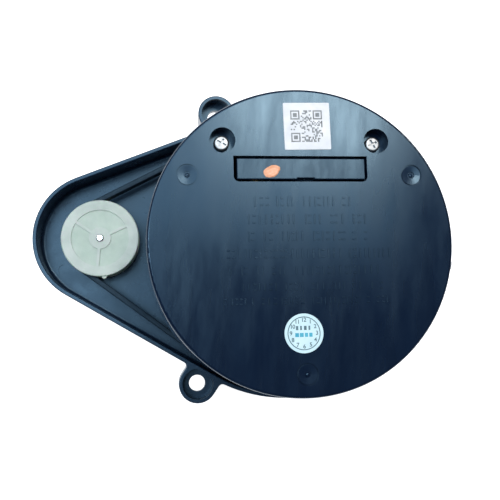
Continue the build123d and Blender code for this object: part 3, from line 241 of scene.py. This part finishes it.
# ---------------------------------------------------------------- motor shaft and pulley
# The shaft is ground steel with a broken edge. The pulley is pressed on it: natural nylon, pale
# and a little cloudy, so light goes some way into it. Below its top face its colour is painted
# darker and greener than its rim, a painted shade for the thin sunken web that lets light through.
shaft_steel = tune(
    surface("shaft_steel", (0.7, 0.71, 0.73), (0.9, 0.91, 0.92), (0.1, 0.22), 0.0008, 0.0002,
            0.000003),
    Metallic=1.0)
give(shaft_steel, "motor_shaft")

pale_nylon = tune(
    surface("pale_nylon", (0.37, 0.46, 0.42), (0.5, 0.58, 0.54), (0.34, 0.46), 0.006, 0.0005,
            0.000006),
    Subsurface_Weight=0.85, Subsurface_Radius=(0.7, 1.0, 0.75), Subsurface_Scale=0.0016,
    IOR=1.53)


def tint_below(finish, low, high, tint):
    """Paints shade into a finish: multiplies its colour by a tint below one height, fading to no
    change at another.
    """
    nodes, links = finish.node_tree.nodes, finish.node_tree.links
    shader = nodes["Principled BSDF"]
    plain = shader.inputs["Base Color"].links[0].from_socket
    where = nodes.new("ShaderNodeTexCoord")
    split = nodes.new("ShaderNodeSeparateXYZ")
    links.new(where.outputs["Object"], split.inputs["Vector"])
    ease = nodes.new("ShaderNodeMapRange")
    ease.interpolation_type = "SMOOTHSTEP"
    ease.inputs["From Min"].default_value = low
    ease.inputs["From Max"].default_value = high
    ease.inputs["To Min"].default_value = 1.0
    ease.inputs["To Max"].default_value = 0.0
    links.new(split.outputs["Z"], ease.inputs["Value"])
    mix = nodes.new("ShaderNodeMixRGB")
    mix.blend_type = "MULTIPLY"
    mix.inputs["Color2"].default_value = (*tint, 1)
    links.new(ease.outputs["Result"], mix.inputs["Fac"])
    links.new(plain, mix.inputs["Color1"])
    links.new(mix.outputs["Color"], shader.inputs["Base Color"])


PULLEY_TOP, WEB_DROP, RIM_EASE = 6.5, 0.3, 0.05
# painted shade: below its top face the pulley's colour is multiplied by a darker, greener tint
WEB_PAINTED_SHADE = (0.9, 0.97, 0.92)
tint_below(pale_nylon, (PULLEY_TOP - WEB_DROP) / 1000, (PULLEY_TOP - RIM_EASE) / 1000, WEB_PAINTED_SHADE)
give(pale_nylon, "motor_pulley")

# ---------------------------------------------------------------- drive belt
# A flat endless rubber belt, cut from a moulded sleeve with its corners rubbed round, runs from
# the pulley's groove to the groove round the turret. It stands still here.
BELT_HALF_T, BELT_HALF_H, BELT_CORNER = 0.75, 2.0, 0.28
BELT_Z = 2.7
TURRET_RUN_R, PULLEY_RUN_R = 38.85, 10.25
CENTRES = 53.9


def as_piece(name, mesh):
    """Puts a finished mesh into the scene as a piece of its own."""
    piece = bpy.data.objects.new(name, mesh)
    bpy.context.collection.objects.link(piece)
    return piece


def mesh_from_grid(name, points, close_rows=True, close_columns=True):
    """A quad mesh over an array of points with rows and columns, joined round where closed. Rows
    that aren't joined round get a lid over the first row and another under the last."""
    rows, columns = points.shape[:2]
    number = np.arange(rows * columns).reshape(rows, columns)
    lids = [] if close_rows else [number[0].tolist(), number[-1, ::-1].tolist()]
    if close_rows:
        number = np.vstack([number, number[:1]])
    if close_columns:
        number = np.hstack([number, number[:, :1]])
    quads = np.stack([number[:-1, :-1], number[1:, :-1], number[1:, 1:], number[:-1, 1:]], axis=-1)
    mesh = bpy.data.meshes.new(name)
    mesh.from_pydata(points.reshape(-1, 3).tolist(), [], quads.reshape(-1, 4).tolist() + lids)
    mesh.shade_smooth()
    return as_piece(name, mesh)


def belt_loop():
    """A rounded rectangle carried round the tight loop over two circles. The loop is given by the
    way its outside faces: at each bearing angle the belt lies on the circle that reaches further
    that way, which leaves the two straight runs where it changes from one to the other."""
    way = np.linspace(0, 2 * np.pi, 720, endpoint=False)
    on_pulley = -CENTRES * np.cos(way) > TURRET_RUN_R - PULLEY_RUN_R
    centre_x = np.where(on_pulley, -CENTRES, 0.0)
    run = np.where(on_pulley, PULLEY_RUN_R, TURRET_RUN_R)
    turn = np.linspace(0, 2 * np.pi, 32, endpoint=False)
    corner_x = np.sign(np.cos(turn)) * (BELT_HALF_T - BELT_CORNER)
    corner_z = np.sign(np.sin(turn)) * (BELT_HALF_H - BELT_CORNER)
    out = corner_x + BELT_CORNER * np.cos(turn)
    up = corner_z + BELT_CORNER * np.sin(turn)
    reach = run[:, None] + out[None, :]
    x = centre_x[:, None] + reach * np.cos(way)[:, None]
    y = reach * np.sin(way)[:, None]
    z = np.broadcast_to(BELT_Z + up[None, :], x.shape)
    return np.stack([x, y, z], axis=-1) / 1000


belt = mesh_from_grid("belt_surface", belt_loop())
belt_rubber = tune(
    surface("belt_rubber", (0.002, 0.004, 0.009), (0.004, 0.007, 0.015), (0.5, 0.66), 0.002,
            0.00022, 0.000015),
    Specular_Tint=COOL_SHEEN)
belt.data.materials.append(belt_rubber)
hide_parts("drive_belt")
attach(belt, "base")

# ---------------------------------------------------------------- turret base and cover
# Two black ABS mouldings screwed together: the base has the belt groove, the deck and the hub,
# and the cover is a drum with a rounded top edge. The cover's mould was polished brighter, and
# handling has left long soft smears in its gloss.
cover_gloss = tune(
    surface("cover_gloss", (0.002, 0.006, 0.02), (0.003, 0.009, 0.027), (0.15, 0.27),
            0.012, 0.0011, 0.000003, stretch=(1.6, 0.35, 1), ripple=0.00016),
    IOR=1.52, Specular_Tint=COOL_SHEEN)
give(cover_gloss, "turret_cover", "turret_base")

# ---------------------------------------------------------------- moulded marks
# Seven lines of low raised marks are cut in the cover's mould. They are plain strokes and paired
# dashes that say nothing, with rounded edges. Their colour is painted a little lighter than the
# skin round them, a painted sheen.
COVER_TOP = 34.5
TURRET_YAW = math.radians(4.9)
MARK_LINES = (  # height up the cover, tallness of a mark, left end, right end
    (10.1, 2.6, -13.8, 13.7), (5.5, 2.6, -17.2, 17.2), (1.1, 2.5, -15.6, 16.8),
    (-3.4, 2.5, -20.7, 22.7), (-7.7, 2.2, -20.3, 19.9), (-11.8, 2.0, -16.9, 20.4),
    (-15.4, 1.8, -22.9, 22.4))
MARK_STROKE = 0.21
MARK_DASH = 0.45
MARK_PROUD = 0.12
MARK_SUNK = 0.02  # how far a mark's foot goes into the cover
MARK_STEPS = (0.95, 1.75)  # least and most from one mark to the next
GROUP_GAP, GAP_CHANCE = 1.5, 0.16
STROKE_CHANCE = 0.6
DASH_OUT = 0.36  # a dash's distance from the line's middle, as a share of the tallness
MOST_MARKS = 60


def on_turret(points):
    """Turns points drawn in the turret's own plan to where the turret stands at rest."""
    c, s = math.cos(TURRET_YAW), math.sin(TURRET_YAW)
    return points @ np.array([[c, s, 0], [-s, c, 0], [0, 0, 1]])


def rounded_bars(name, bars, floor, proud, corners=12):
    """Low bars on a level floor. A bar is a rounded oblong, a circle pulled out to its half width
    and half height, drawn at its foot, at its shoulder and, a little smaller, at its top."""
    bars = np.asarray(bars, float)
    turn = np.linspace(0, 2 * np.pi, corners, endpoint=False) + np.pi / corners
    small = np.minimum(bars[:, 2], bars[:, 3])
    level = np.array([[0.0, 1.0], [0.6, 0.96], [1.0, 0.7]])
    unit = np.stack([np.cos(turn), np.sin(turn)], axis=-1)
    core = np.sign(unit) * (bars[:, None, 2:4] - small[:, None, None])
    edge = core[:, None] + unit * small[:, None, None, None] * level[None, :, 1, None, None]
    x = bars[:, 0, None, None] + edge[..., 0]
    y = bars[:, 1, None, None] + edge[..., 1]
    z = np.broadcast_to(floor + proud * level[None, :, 0, None], x.shape)
    points = on_turret(np.stack([x, y, z], axis=-1).reshape(-1, 3)) / 1000
    first = np.arange(len(bars))[:, None, None] * 3 * corners
    here = np.arange(corners)
    after = (here + 1) % corners
    ring = np.arange(2)[:, None] * corners
    sides = np.stack([ring + here, ring + after, ring + corners + after, ring + corners + here], -1)
    sides = (first[..., None] + sides[None]).reshape(-1, 4).tolist()
    lids = (first[:, :, 0] + 2 * corners + here[None]).tolist()
    feet = (first[:, :, 0] + here[None, ::-1]).tolist()
    mesh = bpy.data.meshes.new(name)
    mesh.from_pydata(points.tolist(), [], sides + lids + feet)
    return as_piece(name, mesh)


def mark_line(height, tall, left, right, draw):
    """One line of marks: strokes of the full height and pairs of short dashes, by lot, closed up
    into groups with gaps between them."""
    step = draw.uniform(*MARK_STEPS, MOST_MARKS)
    step += GROUP_GAP * (draw.random(MOST_MARKS) < GAP_CHANCE)
    x = left + np.cumsum(step)
    x = x[x < right]
    stroke = draw.random(len(x)) < STROKE_CHANCE
    tall_bars = [(a, height, MARK_STROKE, tall / 2) for a in x[stroke]]
    dashes = [(a, height + side * tall * DASH_OUT, MARK_DASH, MARK_STROKE)
              for a in x[~stroke] for side in (-1, 1)]
    return tall_bars + dashes


lot = np.random.default_rng(7)
mark_bars = [bar for line in MARK_LINES for bar in mark_line(*line, lot)]
marks = rounded_bars("moulded_marks", mark_bars, COVER_TOP - MARK_SUNK, MARK_PROUD + MARK_SUNK)
# painted sheen: the marks' colour is a little lighter than the cover's, for their brighter look
mark_gloss_and_painted_sheen = tune(
    surface("mark_gloss_and_painted_sheen", (0.003, 0.009, 0.023), (0.005, 0.013, 0.031), (0.18, 0.3), 0.01, 0.0011,
            0.000003),
    IOR=1.52, Specular_Tint=COOL_SHEEN)
marks.data.materials.append(mark_gloss_and_painted_sheen)
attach(marks, "turret")

# ---------------------------------------------------------------- optics
# A matt black block holds the laser's brass barrel and the receiver's black anodised one, each
# with a coated glass lens behind a threaded ring. Its tongue fills the slot in the cover.
block_black = tune(
    surface("block_black", (0.004, 0.011, 0.026), (0.007, 0.017, 0.036), (0.2, 0.36),
            0.006, 0.0009, 0.000004, stretch=(1.6, 0.5, 1)),
    IOR=1.5, Specular_Tint=COOL_SHEEN)
give(block_black, "optics_holder")

turned_brass = tune(
    surface("turned_brass", (0.42, 0.28, 0.08), (0.66, 0.48, 0.18), (0.2, 0.32), 0.0012, 0.00018,
            0.000012, stretch=(0.15, 2.0, 0.15)),
    Metallic=1.0)
give(turned_brass, "laser_barrel")

black_anodised = tune(
    surface("black_anodised", (0.012, 0.012, 0.014), (0.03, 0.03, 0.034), (0.3, 0.42), 0.001,
            0.0002, 0.000008, stretch=(0.3, 2.0, 0.3)),
    Metallic=0.6)
give(black_anodised, "receiver_barrel", "lens_rings")

lens_glass = tune(
    surface("lens_glass", (0.9, 0.93, 0.97), (0.97, 0.98, 1.0), (0.01, 0.04), 0.006, 0.002,
            0.0000005),
    Transmission_Weight=0.95, IOR=1.52, Coat_Weight=0.6, Coat_Roughness=0.02,
    Coat_Tint=(0.6, 0.5, 1.0, 1))
give(lens_glass, "emitter_lens", "receiver_lens")

# ---------------------------------------------------------------- paint dab
# A hand put a dab of orange sealing paint on the tongue. It dried thin in the middle and thick at
# its ragged edge, with brush lines along it.
DAB_X, DAB_Y = -7.66, 18.07
DAB_LONG, DAB_SHORT, DAB_TILT = 2.3, 1.5, math.radians(25)
DAB_SUNK = 0.02
DAB_THIN, DAB_RIDGE, DAB_BRUSH = 0.07, 0.1, 0.012  # the middle, the edge's extra, the brush lines
RIM_WAVES = ((3, 0.03, 0.6), (5, 0.025, 2.1), (11, 0.012, 0.0))  # number round, swing, start
TONGUE_TOP = 34.2


def paint_blob():
    """A low mound over a ragged ellipse: the rim wanders by a sum of sines of its angle, and the
    height rises fast inside the rim, dips in the middle and ripples across the brush's way. Its
    last row drops straight down from the rim into the tongue."""
    turn = np.linspace(0, 2 * np.pi, 96, endpoint=False)
    out = np.append(np.linspace(0.02, 1.0, 28), 1.0)
    rim = 1 + sum(swing * np.sin(waves * turn + start) for waves, swing, start in RIM_WAVES)
    along = out[:, None] * (rim * np.cos(turn))[None, :] * DAB_LONG
    across = out[:, None] * (rim * np.sin(turn))[None, :] * DAB_SHORT
    body = np.sqrt(np.clip(1 - out**6, 0, 1))[:, None]
    thick = DAB_THIN + DAB_RIDGE * np.exp(-(((out - 0.82) / 0.14) ** 2))[:, None]
    lines = DAB_BRUSH * np.sin(across * 9 + 0.8 * np.sin(along * 1.3))
    z = TONGUE_TOP + body * (thick + lines)
    z[-1] -= DAB_SUNK
    c, s = math.cos(DAB_TILT), math.sin(DAB_TILT)
    x = DAB_X + c * along - s * across
    y = DAB_Y + s * along + c * across
    return on_turret(np.stack([x, y, z], axis=-1).reshape(-1, 3)).reshape(*z.shape, 3) / 1000


blob = mesh_from_grid("paint_blob", paint_blob(), close_rows=False)
orange_paint = tune(
    surface("orange_paint", (0.72, 0.27, 0.12), (0.86, 0.48, 0.3), (0.32, 0.5), 0.0011, 0.0002,
            0.00001, stretch=(1, 2.2, 1)),
    Coat_Weight=0.2, Coat_Roughness=0.3)
blob.data.materials.append(orange_paint)
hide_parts("paint_dab")
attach(blob, "turret")

# ---------------------------------------------------------------- square label
# A white coated paper label is stuck over the slot. Its print is a made up patchwork of grey
# cells with three framed squares, which no reader could read.
LABEL_X, LABEL_Y, LABEL_TILT = 1.8, 30.0, math.radians(1.0)
LABEL_TOP = COVER_TOP + 0.12
CELL, CELLS = 0.352, 24
FILLED_SHARE = 0.42
FRAME_CELLS = 7  # the width of a corner's square frame, in cells
INK_T = 0.012


def ink_slabs(name, x, y, half_x, half_y, low, high, tilt, centre):
    """Flat oblongs of ink, each a thin closed box: the eight corners are the centre plus or minus
    the half sizes, turned by the label's tilt and set down at the label's centre."""
    x, y, half_x, half_y = (np.atleast_1d(np.asarray(v, float)) for v in (x, y, half_x, half_y))
    sign = np.array([[-1, -1], [1, -1], [1, 1], [-1, 1]])
    px = x[:, None] + half_x[:, None] * np.tile(sign[:, 0], 2)
    py = y[:, None] + half_y[:, None] * np.tile(sign[:, 1], 2)
    pz = np.broadcast_to(np.repeat([low, high], 4), px.shape)
    c, s = math.cos(tilt), math.sin(tilt)
    spots = np.stack([centre[0] + c * px - s * py, centre[1] + s * px + c * py, pz], axis=-1)
    box = np.array([[3, 2, 1, 0], [4, 5, 6, 7], [0, 1, 5, 4], [1, 2, 6, 5], [2, 3, 7, 6],
                    [3, 0, 4, 7]])
    faces = (np.arange(len(x))[:, None, None] * 8 + box).reshape(-1, 4)
    points = on_turret(spots.reshape(-1, 3)) / 1000
    mesh = bpy.data.meshes.new(name)
    mesh.from_pydata(points.tolist(), [], faces.tolist())
    return as_piece(name, mesh)


def patchwork():
    """The printed cells of a square grid: a seeded lot fills under half of them, three corners are
    cleared, and each gets a square frame round a solid middle three cells wide."""
    row, column = np.mgrid[0:CELLS, 0:CELLS]
    filled = np.random.default_rng(23).random((CELLS, CELLS)) < FILLED_SHARE
    far, half = CELLS - FRAME_CELLS, FRAME_CELLS // 2
    for top, left in ((0, 0), (0, far), (far, 0)):
        near = np.maximum(abs(row - top - half), abs(column - left - half))
        filled = np.where(near <= half + 1, (near == half) | (near <= 1), filled)
    middle = (CELLS - 1) / 2
    return (column[filled] - middle) * CELL, (middle - row[filled]) * CELL


cell_x, cell_y = patchwork()
cell_half = np.full(len(cell_x), CELL / 2)
square_print = ink_slabs("square_label_print", cell_x, cell_y, cell_half, cell_half, LABEL_TOP,
                         LABEL_TOP + INK_T, LABEL_TILT, (LABEL_X, LABEL_Y))
label_white = tune(
    surface("label_white", (0.5, 0.57, 0.63), (0.6, 0.67, 0.73), (0.3, 0.44), 0.004, 0.0003,
            0.000006),
    Coat_Weight=0.25, Coat_Roughness=0.3)
give(label_white, "square_label")
grey_ink = surface("grey_ink", (0.08, 0.1, 0.11), (0.26, 0.3, 0.33), (0.4, 0.55), 0.0022, 0.0002,
                   0.000004)
square_print.data.materials.append(grey_ink)
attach(square_print, "turret")

# ---------------------------------------------------------------- round label
# A small round tamper label like a dial: a fine ring with the hours round it, a row of plain
# strokes and a row of sea blue blocks in the middle, all screen printed.
DIAL_X, DIAL_Y = -0.64, -23.67
DIAL_RING_R, DIAL_RING_HALF = 4.12, 0.11
HOUR_R, HOUR_TALL, HOUR_BOLDER = 3.35, 1.02, 0.03
DIGIT_SHARE = 0.72  # a digit's height as a share of the font's size
STROKE_X, STROKE_Y, STROKE_HALF_Y = [-1.75, -0.75, 0.35, 1.4], 1.35, 0.52
STROKE_HALF_X = [0.3, 0.22, 0.34, 0.22]
BLOCK_X, BLOCK_Y, BLOCK_HALF_Y = [-1.8, -0.62, 0.6, 1.75], -0.4, 0.5
BLOCK_HALF_X = [0.48, 0.5, 0.4, 0.42]


def dial_ring():
    """A flat hoop of ink: a small oblong section carried round a circle."""
    turn = np.linspace(0, 2 * np.pi, 128, endpoint=False)
    out = DIAL_RING_R + np.array([-1, 1, 1, -1]) * DIAL_RING_HALF
    up = LABEL_TOP + np.array([0, 0, 1, 1]) * INK_T
    x = DIAL_X + out[None, :] * np.cos(turn)[:, None]
    y = DIAL_Y + out[None, :] * np.sin(turn)[:, None]
    z = np.broadcast_to(up[None, :], x.shape)
    return on_turret(np.stack([x, y, z], axis=-1).reshape(-1, 3)).reshape(*x.shape, 3) / 1000


dial_paper = tune(
    surface("dial_paper", (0.54, 0.78, 0.86), (0.64, 0.86, 0.93), (0.3, 0.44), 0.003, 0.0003,
            0.000006),
    Coat_Weight=0.25, Coat_Roughness=0.3)
give(dial_paper, "round_label")
dial_ink = surface("dial_ink", (0.03, 0.09, 0.11), (0.1, 0.2, 0.24), (0.4, 0.55), 0.0016, 0.0002,
                   0.000004)
ring = mesh_from_grid("round_label_ring", dial_ring())
ring.data.shade_flat()
ring.data.materials.append(dial_ink)
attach(ring, "turret")


def hour_figure(hour):
    """One hour's number as a thin solid, set upright on the dial at its own hour's angle."""
    figure = bpy.data.curves.new("hour", "FONT")
    figure.body = str(hour)
    figure.size = HOUR_TALL / DIGIT_SHARE / 1000
    figure.align_x, figure.align_y = "CENTER", "CENTER"
    figure.extrude = INK_T / 2 / 1000
    figure.offset = HOUR_BOLDER / 1000
    figure.space_character = 0.9
    pen = bpy.data.objects.new("hour_pen", figure)
    bpy.context.collection.objects.link(pen)
    bpy.context.view_layer.update()
    drawn = pen.evaluated_get(bpy.context.evaluated_depsgraph_get())
    mesh = bpy.data.meshes.new_from_object(drawn)
    bpy.data.objects.remove(pen)
    spots = np.empty(len(mesh.vertices) * 3)
    mesh.vertices.foreach_get("co", spots)
    way = math.pi / 2 - hour * math.pi / 6
    home = np.array([DIAL_X + HOUR_R * math.cos(way), DIAL_Y + HOUR_R * math.sin(way),
                     LABEL_TOP + INK_T / 2])
    spots = on_turret(spots.reshape(-1, 3) * 1000 + home) / 1000
    mesh.vertices.foreach_set("co", spots.ravel())
    mesh.materials.clear()
    return as_piece("hour_%d" % hour, mesh)


for hour in range(1, 13):
    piece = hour_figure(hour)
    piece.data.materials.append(dial_ink)
    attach(piece, "turret")

strokes = ink_slabs("round_label_strokes", STROKE_X, [STROKE_Y] * 4, STROKE_HALF_X,
                    [STROKE_HALF_Y] * 4, LABEL_TOP, LABEL_TOP + INK_T, 0.0, (DIAL_X, DIAL_Y))
strokes.data.materials.append(dial_ink)
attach(strokes, "turret")
sea_ink = surface("sea_ink", (0.03, 0.34, 0.5), (0.1, 0.5, 0.64), (0.4, 0.55), 0.0016, 0.0002,
                  0.000004)
blocks = ink_slabs("round_label_blocks", BLOCK_X, [BLOCK_Y] * 4, BLOCK_HALF_X,
                   [BLOCK_HALF_Y] * 4, LABEL_TOP, LABEL_TOP + INK_T, 0.0, (DIAL_X, DIAL_Y))
blocks.data.materials.append(sea_ink)
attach(blocks, "turret")

# ---------------------------------------------------------------- table, lamps and camera
# The scanner stands on a plain white lit table in a dim room, under three soft panels: a broad
# cool one, a small warm one and one over the motor. The camera looks nearly straight down.
TABLE_SIZE, TABLE_GAP = 6, 0.00005
bpy.ops.mesh.primitive_plane_add(size=TABLE_SIZE, location=(0, 0, cad_box[0][2] - TABLE_GAP))
table = bpy.context.object
table.name = "table"
table_white = tune(
    surface("table_white", (0.93, 0.93, 0.93), (0.96, 0.96, 0.96), (0.6, 0.7), 0.05, 0.002,
            0.00001),
    Emission_Color=(1, 1, 1, 1), Emission_Strength=0.85)
table.data.materials.append(table_white)


def lamp(name, place, width, depth, power, tint):
    """A soft panel of the given size that hangs level and faces straight down."""
    light = bpy.data.lights.new(name, "AREA")
    light.shape = "RECTANGLE"
    light.size, light.size_y = width, depth
    light.energy = power
    light.color = tint
    panel = bpy.data.objects.new(name, light)
    panel.location = place
    bpy.context.collection.objects.link(panel)


lamp("sky_panel", (-0.18, 0.37, 0.8), 0.92, 0.54, 5.0, (0.8, 0.91, 1.0))
lamp("key_panel", (0.14, 0.31, 0.79), 0.24, 0.18, 2.6, (1.0, 0.8, 0.68))
lamp("side_panel", (-0.4, -0.01, 0.8), 0.6, 0.26, 3.8, (0.86, 0.92, 1.0))

room = bpy.data.worlds.new("dim_room")
room.use_nodes = True
room.node_tree.nodes["Background"].inputs["Color"].default_value = (0.84, 0.93, 1.0, 1)
room.node_tree.nodes["Background"].inputs["Strength"].default_value = 0.13
scene = bpy.context.scene
scene.world = room
scene.view_settings.view_transform = "Standard"

EYE_PLACE = (-0.03383, -0.02397, 0.20967)
EYE_TURN = (6.2014, -6.9717, 3.5033)  # degrees from looking straight down
eye = bpy.data.cameras.new("eye")
eye.lens = 50.4
eye.sensor_width = 36
eye.clip_start = 0.01
camera = bpy.data.objects.new("eye", eye)
camera.location = EYE_PLACE
camera.rotation_euler = [math.radians(angle) for angle in EYE_TURN]
bpy.context.collection.objects.link(camera)
scene.camera = camera
